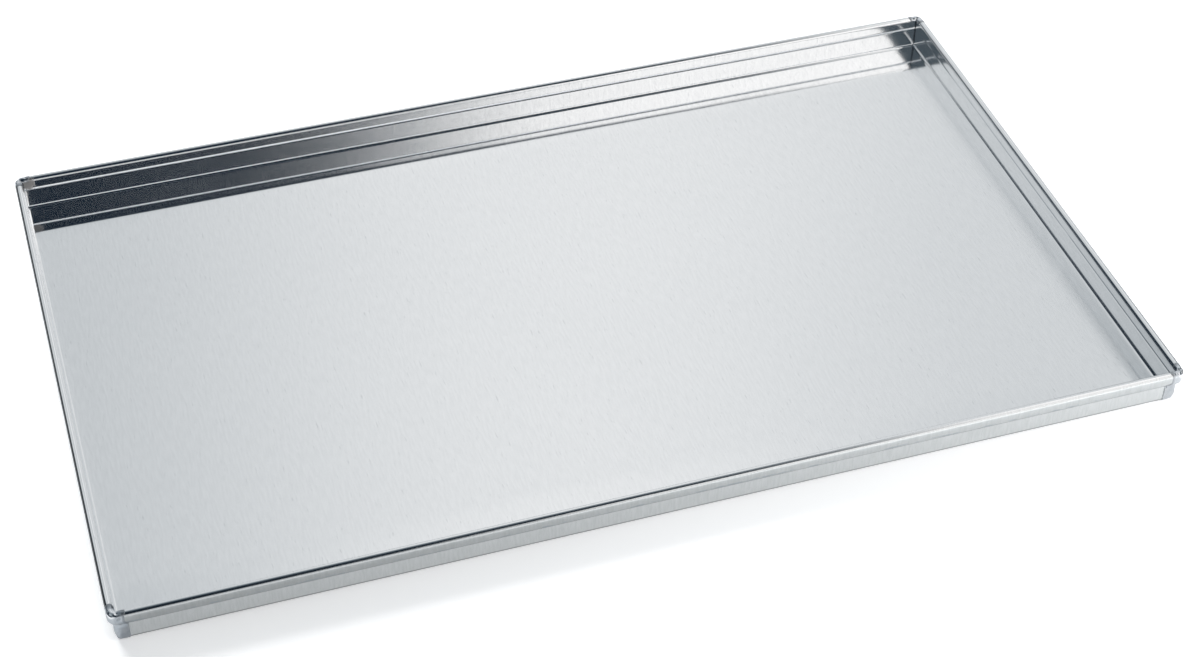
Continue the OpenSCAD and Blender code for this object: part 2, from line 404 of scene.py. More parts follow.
def sheet_aluminium(groups):
    """Rolled aluminium sheet: the grain runs along the blank's width, so it blurs across it."""
    material, tree, shader = new_material("sheet_aluminium")
    blank = add_node(tree, "ShaderNodeUVMap", uv_map="blank").outputs["UV"]
    place = object_place(tree)
    grain = use_group(tree, groups["rolled_grain"], {"Place": blank}).outputs
    marks = use_group(tree, groups["handling_marks"], {"Place": blank}).outputs["Mask"]
    blotches = use_group(tree, groups["soft_blotches"], {"Place": blank}).outputs["Value"]
    small = {"Place": place, "Blotches per metre": SPECKS_PER_METRE}
    specks = use_group(tree, groups["soft_blotches"], small).outputs["Value"]
    outside = mask_named(tree, "outside")
    speckled = raised(tree, SCUFF_LEAST, specks, SCUFF_SPECKS)
    scuff = ramp(tree, times(tree, mask_named(tree, "pressed"), speckled), *SCUFF_EDGE)
    heat = heat_patch(tree, place, specks)
    tone = ramp(tree, grain["Tone"], *NOISE_SPAN)
    colour = coated(tree, mix_colours(tree, tone, *SHEET_TONES), marks, MARK_COAT)
    colour = mix_colours(tree, outside, colour, mix_colours(tree, tone, *OUTSIDE_TONES))
    for mask, coat in (
        # painted shade on the rims' outer flanks
        (mask_named(tree, "painted_rim_shade"), PAINTED_RIM_SHADE_COAT),
        (press_smudges(tree, place, outside), SMUDGE_COAT),
        (scuff, SCUFF_COAT),
        (heat, HEAT_COAT),
        (seam_shade(tree, place), SEAM_COAT),
        # painted shade under the rims' feet and on the floor's outer fold
        (mask_named(tree, "painted_underside_shade"), PAINTED_UNDERSIDE_SHADE_COAT),
    ):
        colour = coated(tree, colour, mask, coat)
    tree.links.new(colour, shader.inputs["Base Color"])
    roughness = ramp(tree, grain["Height"], *NOISE_SPAN, *SHEET_ROUGHNESS)
    for mask, rougher in (
        (blotches, BLOTCH_ROUGHER),
        (outside, OUTSIDE_ROUGHER),
        (scuff, SCUFF_ROUGHER),
        (heat, HEAT_ROUGHER),
        (floor_wear(tree, place), WEAR_ROUGHER),
    ):
        roughness = raised(tree, roughness, mask, rougher)
    tree.links.new(roughness, shader.inputs["Roughness"])
    shader.inputs["Anisotropic"].default_value = 1.0
    across = add_node(tree, "ShaderNodeTangent", direction_type="UV_MAP", uv_map="blank")
    tree.links.new(across.outputs["Tangent"], shader.inputs["Tangent"])
    relief = raised(tree, grain["Height"], marks, -MARK_DEPTH_SHARE)
    bump = {"Height": relief, "Strength": GRAIN_STRENGTH, "Distance": GRAIN_DEPTH}
    bump = add_node(tree, "ShaderNodeBump", bump)
    tree.links.new(bump.outputs["Normal"], shader.inputs["Normal"])
    return material


# The weld metal and the wire

WELD_TONES = ((0.72, 0.74, 0.77, 1), (0.84, 0.86, 0.88, 1))
WELD_SKIN_TONES = ((0.34, 0.38, 0.42, 1), (0.44, 0.47, 0.5, 1))
WELD_MARK_COAT = Coat(0.5, (0.3, 0.32, 0.35, 1))
# Painted shade: a dark coat along a weld's toe, where it meets the sheet, and in the groove between its
# lobes
PAINTED_TOE_SHADE_COAT = Coat(0.55, (0.16, 0.17, 0.18, 1))
WELD_BLOTCHES_PER_METRE = 300.0
WELD_MARKS_PER_METRE = 1200.0
WELD_ROUGHNESS = 0.06
MOTTLE_ROUGHER = 0.06
DULL_ROUGHER = 0.3
TOE_ROUGHER = 0.1
RIPPLES_PER_METRE = 900.0
RIPPLE_STRENGTH = 0.3
RIPPLE_DEPTH = 0.1 * MM

WIRE_TONES = ((0.42, 0.44, 0.46, 1), (0.6, 0.62, 0.64, 1))
WIRE_ROUGHNESS = (0.32, 0.5)
WIRE_BLOTCHES_PER_METRE = 150.0


def weld_aluminium(groups):
    """Aluminium that has melted and set: smooth swells, a dull skin, small dark pits, and painted shade
    along its toe and in the groove between its lobes.
    """
    material, tree, shader = new_material("weld_aluminium")
    place = object_place(tree)
    mottling = {"Place": place, "Blotches per metre": WELD_BLOTCHES_PER_METRE}
    mottled = use_group(tree, groups["soft_blotches"], mottling).outputs["Value"]
    marking = {"Place": place, "Marks per metre": WELD_MARKS_PER_METRE}
    marks = use_group(tree, groups["handling_marks"], marking).outputs["Mask"]
    dull = mask_named(tree, "dull")
    toe = mask_named(tree, "toe")
    skin = mix_colours(tree, mottled, *WELD_SKIN_TONES)
    colour = mix_colours(tree, dull, mix_colours(tree, mottled, *WELD_TONES), skin)
    # the toe coat is painted shade along the weld's toe and in the groove between its lobes
    colour = coated(tree, coated(tree, colour, marks, WELD_MARK_COAT), toe, PAINTED_TOE_SHADE_COAT)
    tree.links.new(colour, shader.inputs["Base Color"])
    roughness = raised(tree, WELD_ROUGHNESS, mottled, MOTTLE_ROUGHER)
    roughness = raised(tree, roughness, dull, DULL_ROUGHER)
    tree.links.new(raised(tree, roughness, toe, TOE_ROUGHER), shader.inputs["Roughness"])
    ripples = noise_of(tree, place, RIPPLES_PER_METRE, FINE_DETAIL)
    bump = {"Height": ripples, "Strength": RIPPLE_STRENGTH, "Distance": RIPPLE_DEPTH}
    bump = add_node(tree, "ShaderNodeBump", bump)
    tree.links.new(bump.outputs["Normal"], shader.inputs["Normal"])
    return material


def wire_steel(groups):
    """Galvanised steel wire, a little blotchy."""
    material, tree, shader = new_material("wire_steel")
    blotching = {"Place": object_place(tree), "Blotches per metre": WIRE_BLOTCHES_PER_METRE}
    blotches = use_group(tree, groups["soft_blotches"], blotching).outputs["Value"]
    tree.links.new(mix_colours(tree, blotches, *WIRE_TONES), shader.inputs["Base Color"])
    tree.links.new(ramp(tree, blotches, 0.0, 1.0, *WIRE_ROUGHNESS), shader.inputs["Roughness"])
    return material


# Objects

def put(name, data):
    """A new object in the scene."""
    made = bpy.data.objects.new(name, data)
    bpy.context.scene.collection.objects.link(made)
    return made


def mesh_from(bm, name):
    """The mesh that the work makes, with the work let go."""
    mesh = bpy.data.meshes.new(name)
    bm.to_mesh(mesh)
    bm.free()
    return mesh


# The folded sheet

def edges_on(bm, test):
    """Edges whose two ends both pass the test."""
    return [edge for edge in bm.edges if all(test(vert.co) for vert in edge.verts)]


def carry_on(bm, edges, change, run):
    """Extrudes the free edges of a strip and moves the new ones, which lie run further out on the blank."""
    blank = bm.verts.layers.float_vector["blank"]
    made = bmesh.ops.extrude_edge_only(bm, edges=edges)["geom"]
    fresh = {item for item in made if isinstance(item, bmesh.types.BMVert)}
    bmesh.ops.transform(bm, matrix=change, verts=list(fresh))
    for vert in fresh:
        vert[blank] = vert[blank] + Vector((0, -run, 0))
    made_edges = (item for item in made if isinstance(item, bmesh.types.BMEdge))
    return [edge for edge in made_edges if set(edge.verts) <= fresh]


def bend(bm, edges, axis_y, axis_z, radius, angle, steps):
    """Folds the free edges round an axis along x."""
    turn = Matrix.Rotation(angle / steps, 4, "X")
    axis = Matrix.Translation((0, axis_y, axis_z))
    for _ in range(steps):
        edges = carry_on(bm, edges, axis @ turn @ axis.inverted(), radius * abs(angle) / steps)
    return edges


def straight(bm, edges, direction, stations, at):
    """Carries the free edges on in a straight line, with a row of vertices at each station."""
    for station in stations:
        edges = carry_on(bm, edges, Matrix.Translation(direction * (station - at)), abs(station - at))
        at = station
    return edges


def wall_stations():
    """Heights of the rows of vertices on a wall, close together on the pressed line."""
    fold_top = SHEET + FOLD_R
    line_foot = PRESS_LINE_Z - PRESS_LINE_BELOW
    below = [fold_top + (line_foot - fold_top) * share for share in BELOW_LINE_SHARES]
    rise = [PRESS_LINE_Z - PRESS_LINE_BELOW * share for share in LINE_RISE_SHARES]
    fall = [PRESS_LINE_Z + PRESS_LINE_ABOVE * share for share in LINE_FALL_SHARES]
    return below + rise + fall + [fall[-1] + ROW_OVER_LINE, TOP_AXIS_Z - ROW_UNDER_BEAD, TOP_AXIS_Z]


def smooth_step(value, low, high):
    """0 below low, 1 above high and a smooth rise between them."""
    share = min(max((value - low) / (high - low), 0), 1)
    return share * share * (3 - 2 * share)


def wave(place, length, seed):
    """A slow change from 0 to 1 that looks random and is the same in every run."""
    shift = Vector((seed, WAVE_SEED_Y_SHARE * seed, WAVE_SEED_Z_SHARE * seed))
    return 0.5 + 0.5 * noise.noise(place / length + shift)


def press_line_crown(height):
    """The pressed line's section: a short flank below its crown and a long one above."""
    reach = PRESS_LINE_ABOVE if height > PRESS_LINE_Z else PRESS_LINE_BELOW
    return max(0, 1 - abs(height - PRESS_LINE_Z) / reach)


def press_line(place, side):
    """How far the line that pressing the rim shut leaves stands in from the wall."""
    along = Vector((place.x, 0, 0))
    level = smooth_step(wave(along, PRESS_LINE_WAVE_LENGTH, seed=11 * side), *PRESS_LINE_WAVE_SPAN)
    pressed = PRESS_LINE_LEAST_SHARE + (1 - PRESS_LINE_LEAST_SHARE) * level
    if side == RIGHT_SIDE:
        away = abs(place.x - PRESS_LINE_BREAK_AT)
        pressed *= PRESS_LINE_RIGHT_SHARE * smooth_step(away, *PRESS_LINE_BREAK_EDGE)
    return PRESS_LINE_DEPTH * press_line_crown(place.z) * pressed


def wall_wave(place, side):
    """How far a wall bows in between its fold and its rim, which are both stiff."""
    height = (place.z - SHEET - FOLD_R) / (TOP_AXIS_Z - SHEET - FOLD_R)
    if height <= 0:
        return 0
    along = Vector((place.x, 0, 0))
    return WALL_WAVE * math.sin(math.pi * height) * wave(along, WALL_WAVE_LENGTH, seed=3 + side)


def rim_dent(place, side, reach):
    """How far the press has pushed in the outer face of a rim."""
    outward = -place.y - reach
    outer = smooth_step(outward, RIM_DENT_FROM_SHARE * BEAD_R, RIM_WIDTH)
    below_top = smooth_step(PAN_HIGH.z - place.z, 0, BEAD_R)
    along = Vector((place.x, 0, RIM_DENT_RISE * place.z))
    return RIM_DENT * outer * below_top * wave(along, RIM_DENT_LENGTH, seed=23 + side)


def floor_wave(place):
    """How far the floor stands up from flat: nothing near the walls, which hold it."""
    from_wall = min(WALL_IN_X - abs(place.x), WALL_IN_Y - abs(place.y))
    free = smooth_step(from_wall, *FLOOR_WAVE_MARGIN)
    return FLOOR_WAVE * free * wave(place, FLOOR_WAVE_LENGTH, seed=5)


def fold_side(bm, side, reach, wall_half_run, rim_half_run):
    """Folds up the wall at the front of the blank, and its rim over the wire."""
    floor_y = -(reach - FOLD_R)
    edges = edges_on(bm, lambda place: place.y < floor_y + TINY and place.z < SHEET + TINY)
    known = set(bm.verts)
    fold_top = SHEET + FOLD_R
    edges = bend(bm, edges, floor_y, fold_top, FOLD_R, -math.pi / 2, FOLD_STEPS)
    edges = straight(bm, edges, Vector((0, 0, 1)), wall_stations(), fold_top)
    for vert in set(bm.verts) - known:
        if abs(vert.co.x) > rim_half_run + TINY:
            mitre = wall_half_run - vert.co.y - reach - SEAM_GAP / math.sqrt(2)
            vert.co.x = math.copysign(mitre, vert.co.x)
        vert.co.y += press_line(vert.co, side) + wall_wave(vert.co, side)
    within = rim_half_run + TINY
    edges = [edge for edge in edges if all(abs(vert.co.x) < within for vert in edge.verts)]
    known = set(bm.verts)
    bead_y = -(reach + BEAD_R)
    edges = bend(bm, edges, bead_y, TOP_AXIS_Z, BEAD_R, math.pi, BEAD_STEPS)
    drop = [TOP_AXIS_Z + (CURL_AXIS_Z - TOP_AXIS_Z) * share for share in RIM_DROP_SHARES]
    edges = straight(bm, edges, Vector((0, 0, 1)), drop, TOP_AXIS_Z)
    edges = bend(bm, edges, bead_y, CURL_AXIS_Z, BEAD_R, math.pi / 2, CURL_STEPS)
    straight(bm, edges, Vector((0, 1, 0)), [BEAD_R - SHEET - LIP_GAP], 0)
    for vert in set(bm.verts) - known:
        if abs(vert.co.x) > rim_half_run - TINY:
            end = rim_half_run + RIM_END_LAP - rim_end_inset(vert.co.z)
            vert.co.x = math.copysign(end, vert.co.x)
            axis_z = min(max(vert.co.z, CURL_AXIS_Z), TOP_AXIS_Z)
            inward = Vector((0, bead_y - vert.co.y, axis_z - vert.co.z))
            vert.co += inward.normalized() * RIM_END_SINK
        vert.co.y += rim_dent(vert.co, side, reach)


def rim_end_inset(height):
    """How far a rim's end is drawn in by its round corners at a height."""
    below = max(0, RIM_FOOT_Z + RIM_END_FOOT_R - height)
    above = max(0, height - PAN_HIGH.z + RIM_END_TOP_R)
    foot = RIM_END_FOOT_R - math.sqrt(RIM_END_FOOT_R**2 - min(below, RIM_END_FOOT_R)**2)
    top = RIM_END_TOP_R - math.sqrt(RIM_END_TOP_R**2 - min(above, RIM_END_TOP_R)**2)
    return foot + top


def floor_blank(bm):
    """The flat floor, with a margin of cells outside the ends of the rims."""
    columns = round(2 * RIM_HALF_RUN_X / CELL)
    rows = round(2 * RIM_HALF_RUN_Y / CELL)
    bmesh.ops.create_grid(bm, x_segments=columns, y_segments=rows, size=1)
    bmesh.ops.scale(bm, vec=(RIM_HALF_RUN_X, RIM_HALF_RUN_Y, 1), verts=bm.verts)
    bmesh.ops.translate(bm, vec=(0, 0, SHEET), verts=bm.verts)
    blank = bm.verts.layers.float_vector.new("blank")
    for quarter in range(4):
        edge_y = min(vert.co.y for vert in bm.verts)
        margin = (RIM_HALF_RUN_Y, RIM_HALF_RUN_X)[quarter % 2] + edge_y
        inner = (WALL_IN_Y, WALL_IN_X)[quarter % 2] - FOLD_R
        edges = edges_on(bm, lambda place: place.y < edge_y + TINY)
        carry_on(bm, edges, Matrix.Translation((0, -inner - edge_y - margin, 0)), 0)
        bmesh.ops.rotate(bm, cent=(0, 0, 0), matrix=QUARTER, verts=bm.verts)
    for vert in bm.verts:
        vert[blank] = Vector((vert.co.x, vert.co.y, 0))


def turn_quarter(bm):
    """Turns the work so that its next side is at the front."""
    blank = bm.verts.layers.float_vector["blank"]
    bmesh.ops.rotate(bm, cent=(0, 0, 0), matrix=QUARTER, verts=bm.verts)
    for vert in bm.verts:
        vert[blank] = QUARTER @ vert[blank]


def lay_blank_map(bm):
    """A map in metres of where each point lies on the flat blank."""
    blank = bm.verts.layers.float_vector["blank"]
    flat = bm.loops.layers.uv.new("blank")
    for face in bm.faces:
        for loop in face.loops:
            loop[flat].uv = loop.vert[blank].xy


# Wear on the sheet, and painted shade on its rims and undersides. A pair holds where a mask starts and
# where it is full, measured on the downward part of a normal, which is -1 on top and 1 below, or as shares
# of a size.
SCUFF_RIGHT_SHARE = 0.2
SCUFF_FOLD = 0.8
SCUFF_FOLD_BELOW_WALL = (0.1 * MM, 0.75 * MM)
SCUFF_FOLD_BEYOND = (-0.6 * FOLD_R, 0.1 * SHEET)
SCUFF_PROUD_SHARE = 0.3
SCUFF_CROWN_GAIN = 3
# Where the painted shade under the rims' feet and on the floor's outer fold lies
UNDERSIDE_SHADE_RIM_BEYOND = 1.2 * SHEET
UNDERSIDE_SHADE_FOLD_BEYOND = -2 * FOLD_R
UNDERSIDE_SHADE_FOLD_RISE = 0.3 * SHEET
UNDERSIDE_SHADE_UNDER_RIM = (0.12, 0.55)
UNDERSIDE_SHADE_ON_FOLD = (0.06, 0.24)
# Where the painted shade on the rims' outer flanks lies, and how strong it is on each rim
RIM_SHADE_TURN = (-0.95, -0.78)
RIM_SHADE_FLANK_SHARES = (0.6, 0.8)
RIM_SHADE_LEFT = 0.97
RIM_SHADE_RIGHT = 0.5
RIM_SHADE_LONG = 0.34
RIM_SHADE_LONG_FADE = 0.22
RIM_SHADE_LONG_END_SHARE = 0.6
RIM_SHADE_LEFT_RISE = 1 * MM
OUTSIDE_TURN = (-0.85, -0.3)
OUTSIDE_SHARES = (0.5, 0.9)


def scuffed(vert, beyond):
    """How far pressing and folding have scuffed the sheet: on the pressed line's crown and on the fold."""
    share = SCUFF_RIGHT_SHARE if vert.co.x > WALL_IN_X - FOLD_R else 1
    proud = smooth_step(-beyond, 0, SCUFF_PROUD_SHARE * PRESS_LINE_DEPTH)
    line = proud * min(1, SCUFF_CROWN_GAIN * press_line_crown(vert.co.z))
    below_wall = SHEET + FOLD_R - vert.co.z
    inside = vert.normal.z > 0 and SCUFF_FOLD_BEYOND[0] < beyond < SCUFF_FOLD_BEYOND[1]
    on_fold = SCUFF_FOLD_BELOW_WALL[0] < below_wall < SCUFF_FOLD_BELOW_WALL[1]
    return share * max(line, SCUFF_FOLD if inside and on_fold else 0)


def painted_underside_shade_at(vert, beyond):
    """How much painted shade darkens the underside of a rim's foot and the outer side of the floor's fold.
    """
    if beyond > UNDERSIDE_SHADE_RIM_BEYOND and vert.co.z < CURL_AXIS_Z:
        return smooth_step(-vert.normal.z, *UNDERSIDE_SHADE_UNDER_RIM)
    if beyond > UNDERSIDE_SHADE_FOLD_BEYOND and vert.co.z < SHEET + FOLD_R:
        raised_off = smooth_step(vert.co.z, 0, UNDERSIDE_SHADE_FOLD_RISE)
        return smooth_step(-vert.normal.z, *UNDERSIDE_SHADE_ON_FOLD) * raised_off
    return 0


def painted_rim_shade_at(place, normal):
    """How much painted shade darkens the outer flank of a rim: most along the left rim, and fading along
    the long ones.
    """
    across = abs(place.x) - WALL_IN_X
    start, full = (share * RIM_WIDTH for share in RIM_SHADE_FLANK_SHARES)
    flank = smooth_step(max(across, abs(place.y) - WALL_IN_Y), start, full)
    flank *= smooth_step(-normal.z, *RIM_SHADE_TURN)
    if across > 0 and place.x < 0:
        return RIM_SHADE_LEFT * flank * smooth_step(place.z, TOP_AXIS_Z - RIM_SHADE_LEFT_RISE, TOP_AXIS_Z)
    if across > 0:
        return RIM_SHADE_RIGHT * flank
    fading = smooth_step(place.x, -WALL_IN_X, RIM_SHADE_LONG_END_SHARE * WALL_IN_X)
    return (RIM_SHADE_LONG - RIM_SHADE_LONG_FADE * fading) * flank


def duller(vert, beyond):
    """How far a point is on the duller outside: outer faces of rims and walls, and the bottom."""
    if vert.co.z < 0.5 * SHEET:
        return 1
    start, full = (share * SHEET for share in OUTSIDE_SHARES)
    return smooth_step(-vert.normal.z, *OUTSIDE_TURN) * smooth_step(beyond, start, full)


def mark_finish(bm):
    """Marks the duller outside of the tray, the painted shade on its rims' outer flanks, its scuffed lines,
    and the painted shade under its rims' feet and on the floor's outer fold.
    """
    layers = bm.verts.layers.float
    outside, pressed, painted_underside_shade, painted_rim_shade = [
        layers.new(name) for name in ("outside", "pressed", "painted_underside_shade", "painted_rim_shade")
    ]
    bm.normal_update()
    for vert in bm.verts:
        beyond = max(abs(vert.co.x) - WALL_IN_X, abs(vert.co.y) - WALL_IN_Y)
        vert[outside] = duller(vert, beyond)
        vert[pressed] = scuffed(vert, beyond)
        # painted shade under the rims' feet and on the floor's outer fold
        vert[painted_underside_shade] = painted_underside_shade_at(vert, beyond)
        # painted shade on the rims' outer flanks
        vert[painted_rim_shade] = painted_rim_shade_at(vert.co, vert.normal)


def pan_sheet(material):
    """One blank: the floor, four walls folded up and four rims folded over their wires."""
    bm = bmesh.new()
    floor_blank(bm)
    for vert in bm.verts:
        vert.co.z += floor_wave(vert.co)
    for side in range(4):
        if side % 2 == 0:
            fold_side(bm, side, WALL_IN_Y, WALL_IN_X, RIM_HALF_RUN_X)
        else:
            fold_side(bm, side, WALL_IN_X, WALL_IN_Y, RIM_HALF_RUN_Y)
        turn_quarter(bm)
    bmesh.ops.recalc_face_normals(bm, faces=bm.faces)
    if max(bm.faces, key=lambda face: face.calc_area()).normal.z < 0:
        bmesh.ops.reverse_faces(bm, faces=bm.faces)
    bmesh.ops.solidify(bm, geom=bm.faces[:], thickness=SHEET)
    lay_blank_map(bm)
    mark_finish(bm)
    return finished_piece(bm, "folded_pan", material, "pan_sheet")


def finished_piece(bm, name, material, node):
    """Turns the work into a piece that stands for a node, smooth but for its sharp edges."""
    for face in bm.faces:
        face.smooth = True
    for edge in bm.edges:
        edge.smooth = edge.is_manifold and edge.calc_face_angle() < SHARP_ANGLE
    piece = put(name, mesh_from(bm, name))
    piece.data.materials.append(material)
    piece.modifiers.new("even_shading", "WEIGHTED_NORMAL").keep_sharp = True
    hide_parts(node)
    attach(piece, "root")
    return piece


def surface_of(piece):
    """A piece's surface, to measure distances from."""
    bm = bmesh.new()
    bm.from_mesh(piece.data)
    tree = BVHTree.FromBMesh(bm)
    bm.free()
    return tree


# The corner welds

WELD_CELL = 0.2 * MM
WELD_SMOOTHING = 8
WELD_FREE = 0.4 * MM
WELD_LAP = 0.08 * MM
SEAM_DROP_R = 0.28 * MM
SEAM_DROP_LENGTH = 0.9 * MM
SEAM_FOLD_DROPS = 7
SEAM_DROP_SPACING_SHARE = 1.3
SEAM_LUMP_TURN = 2.4
WELD_LUMP = 0.3 * MM
WELD_LUMP_LENGTH = 2.6 * MM
WELD_EDGE_LUMP = 0.14 * MM
WELD_EDGE_LENGTH = 1.1 * MM
# How far from the sheet the painted shade along a weld's toe reaches
WELD_TOE = 0.3 * MM
WELD_LEG_END = 6 * MM
WELD_LEG_ROUND = 2.6 * MM
WELD_LEG_STAND = 1.8 * MM
WELD_LEG_TOP_Z = RIM_FOOT_Z - 0.3 * MM
WELD_FOOT_Z = 0.5 * MM
WELD_PARTING = 0.25 * MM
PARTING_EDGE_SHARES = (0.5, 1.6)
PARTING_RISE = 2 * MM
# How strongly painted shade darkens the groove between a weld's lobes
PAINTED_PARTING_SHADE = 1.5
POOL_EDGE_SHARES = (0.8, 1.1)

# What sets one weld apart: how dull its skin is, how deep the line between its two lobes is and how much
# painted shade it has, how round the lower ends of its legs are, and where on the cap the metal has set as
# a shiny pool, measured in millimetres as a swell is, with the pool's radius last
Finish = namedtuple("Finish", "dullness parting foot pool")
FRONT_LEFT_FINISH = Finish(0.85, 0.0, 4.2 * MM, (1.6, 1.6, 19.8, 2.7))
FRONT_RIGHT_FINISH = Finish(0.45, 0.5, 0.8 * MM, (1.6, 2.4, 19.6, 4.0))
BACK_LEFT_FINISH = Finish(0.6, 0.7, 2.0 * MM, (2.5, 2.5, 20.0, 4.5))
BACK_RIGHT_FINISH = Finish(0.3, 1.0, 1.5 * MM, (2.5, 2.5, 20.0, 5.0))

# A round swell or, with a negative height, a dent, in millimetres: its place is measured outwards from
# the inner faces of the two walls, across the front or back one first, and up from the table
Swell = namedtuple("Swell", "across_front across_side up radius height")
FRONT_LEFT_SWELLS = [
    Swell(2.6, -0.8, 20.0, 1.2, -0.55),
    Swell(0.8, 3.4, 20.0, 0.9, -0.4),
    Swell(3.6, 2.4, 20.0, 1.3, -0.35),
    Swell(4.8, -1.6, 17.0, 1.5, -0.5),
    Swell(-1.4, 4.8, 17.0, 1.5, -0.45),
    Swell(4.0, 4.0, 13.8, 2.0, -0.9),
    Swell(4.6, 0.4, 13.8, 1.6, -0.6),
    Swell(1.9, 0.2, 11.2, 1.3, -0.35),
    Swell(1.8, -3.2, 9.4, 1.8, 0.4),
    Swell(2.0, 1.0, 6.5, 2.2, 0.3),
    Swell(1.9, -4.4, 4.0, 1.8, -0.35),
    Swell(1.9, 1.9, 0.6, 2.6, -1.3),
]
FRONT_RIGHT_SWELLS = [
    Swell(0.6, 1.0, 20.0, 0.6, -0.6),
    Swell(0.4, 2.6, 20.0, 0.5, -0.5),
    Swell(2.8, 2.0, 19.6, 0.5, -0.5),
    Swell(2.4, 3.4, 19.0, 0.45, -0.5),
    Swell(4.2, 4.2, 13.8, 2.0, -0.8),
    Swell(1.8, -4.8, 10.6, 0.5, -0.6),
    Swell(1.8, -4.9, 3.0, 0.5, -0.5),
    Swell(1.9, 1.9, 0.6, 2.4, -1.1),
]
BACK_LEFT_SWELLS = [
    Swell(2.0, -2.6, 20.0, 0.9, -0.5),
    Swell(0.2, 0.4, 20.0, 0.9, -0.5),
    Swell(2.6, 2.2, 20.0, 1.2, -0.4),
    Swell(4.2, 4.2, 13.8, 2.0, -0.7),
    Swell(1.9, 1.9, 0.6, 2.4, -1.1),
]
BACK_RIGHT_SWELLS = [
    Swell(1.2, 1.2, 20.0, 0.5, -0.6),
    Swell(2.4, 2.4, 19.8, 0.5, -0.6),
    Swell(0.2, 0.2, 20.0, 0.5, -0.5),
    Swell(4.2, 4.2, 13.8, 2.0, -0.7),
    Swell(1.9, 1.9, 0.6, 2.4, -1.1),
]

# The corner is the way out of the tray in x and y, and lumpiness tells how uneven the seam's drops are
Weld = namedtuple("Weld", "name corner swells lumpiness finish")
WELDS = [
    Weld("weld_front_left", Vector((-1, -1)), FRONT_LEFT_SWELLS, 0.1, FRONT_LEFT_FINISH),
    Weld("weld_front_right", Vector((1, -1)), FRONT_RIGHT_SWELLS, 0.1, FRONT_RIGHT_FINISH),
    Weld("weld_back_left", Vector((-1, 1)), BACK_LEFT_SWELLS, 0.45, BACK_LEFT_FINISH),
    Weld("weld_back_right", Vector((1, 1)), BACK_RIGHT_SWELLS, 0.1, BACK_RIGHT_FINISH),
]


def voxel_skin(bm, cell):
    """The same form in small even cells, its parts run together as melted metal."""
    melt = put("melt", mesh_from(bm, "melt"))
    cells = melt.modifiers.new("cells", "REMESH")
    cells.mode = "VOXEL"
    cells.voxel_size = cell
    skin = bmesh.new()
    skin.from_object(melt, bpy.context.evaluated_depsgraph_get())
    bpy.data.objects.remove(melt)
    return skin


def add_drop(bm, corner, inward, height, size):
    """A drop of metal drawn out along the corner's diagonal, from the open seam into the weld."""
    place = Vector((corner.x * (WALL_IN_X - inward), corner.y * (WALL_IN_Y - inward), height))
    turn = Matrix.Rotation(math.atan2(corner.y, corner.x), 4, "Z")
    shape = Matrix.Diagonal((SEAM_DROP_LENGTH, size, size, 1))
    outward = Matrix.Translation((SEAM_DROP_LENGTH - size, 0, 0))
    form = Matrix.Translation(place) @ turn @ outward @ shape
    bmesh.ops.create_icosphere(bm, subdivisions=2, radius=1, matrix=form)


def fill_seam(bm, corner, lumpiness):
    """Metal that has run into the open seam: up the fold, and on up to the pressed line."""
    for step in range(SEAM_FOLD_DROPS):
        angle = math.pi / 2 * step / SEAM_FOLD_DROPS
        inward = FOLD_R * (1 - math.sin(angle))
        add_drop(bm, corner, inward, SHEET + FOLD_R * (1 - math.cos(angle)), SEAM_DROP_R)
    height = SHEET + FOLD_R
    step = 0
    while height < PRESS_LINE_Z:
        size = SEAM_DROP_R * (1 + lumpiness * math.sin(SEAM_LUMP_TURN * step))
        add_drop(bm, corner, 0, height, size)
        height += SEAM_DROP_SPACING_SHARE * SEAM_DROP_R
        step += 1


def from_corner(place, corner):
    """A place measured from a corner's inner edge: past the front or back wall, past the side wall, up."""
    return Vector((corner.y * place.y - WALL_IN_Y, corner.x * place.x - WALL_IN_X, place.z))


def rounded_leg(here, foot_round):
    """Thins a weld's two legs toward their ends and their feet, and rounds off the legs' lower ends."""
    if here.z > WELD_LEG_TOP_Z:
        return here
    drop = min(1, max(0, 1 - (here.z - WELD_FOOT_Z) / foot_round))
    reach = WELD_LEG_END - foot_round * (1 - math.sqrt(1 - drop * drop))
    for run in (0, 1):
        here[run] = max(here[run], -reach)
    foot = max(0, 1 - (here.z - WELD_FOOT_Z) / WELD_LEG_ROUND)
    for out, run in ((0, 1), (1, 0)):
        end = max(0, -(here[run] + WELD_LEG_END - WELD_LEG_ROUND) / WELD_LEG_ROUND)
        away = min(1, end * end + foot * foot)
        most = SHEET + WELD_LAP + WELD_LEG_STAND * math.sqrt(1 - away)
        if here[run] < SHEET and here[out] > most:
            here[out] = most
    return here


def parting_at(here):
    """How near a place on a weld is to the line between its two lobes, above the foot of the rims."""
    start, full = (share * WELD_PARTING for share in PARTING_EDGE_SHARES)
    near = 1 - smooth_step(abs(here.x - here.y), start, full)
    return near * smooth_step(here.z, RIM_FOOT_Z, RIM_FOOT_Z + PARTING_RISE)


def dull_at(here, finish):
    """How dull a weld's skin is: all of it but the pool on its cap."""
    *middle, radius = finish.pool
    start, full = (share * radius for share in POOL_EDGE_SHARES)
    return finish.dullness * smooth_step((here / MM - Vector(middle)).length, start, full)


def swell_at(place, corner, swells):
    """How far a weld's own swells and the general unevenness of set metal move its surface out."""
    here = from_corner(place, corner) / MM
    lump = WELD_LUMP * (wave(place, WELD_LUMP_LENGTH, seed=corner.x + 3 * corner.y) - 0.5)
    for swell in swells:
        distance = (here - Vector(swell[:3])).length
        lump += swell.height * MM * math.exp(-((distance / swell.radius) ** 2))
    return lump


def lap_at(place):
    """How far the thin edge of a weld stands off the sheet: it comes and goes, so the edge is ragged."""
    return WELD_LAP + WELD_EDGE_LUMP * (wave(place, WELD_EDGE_LENGTH, seed=41) - 0.5)


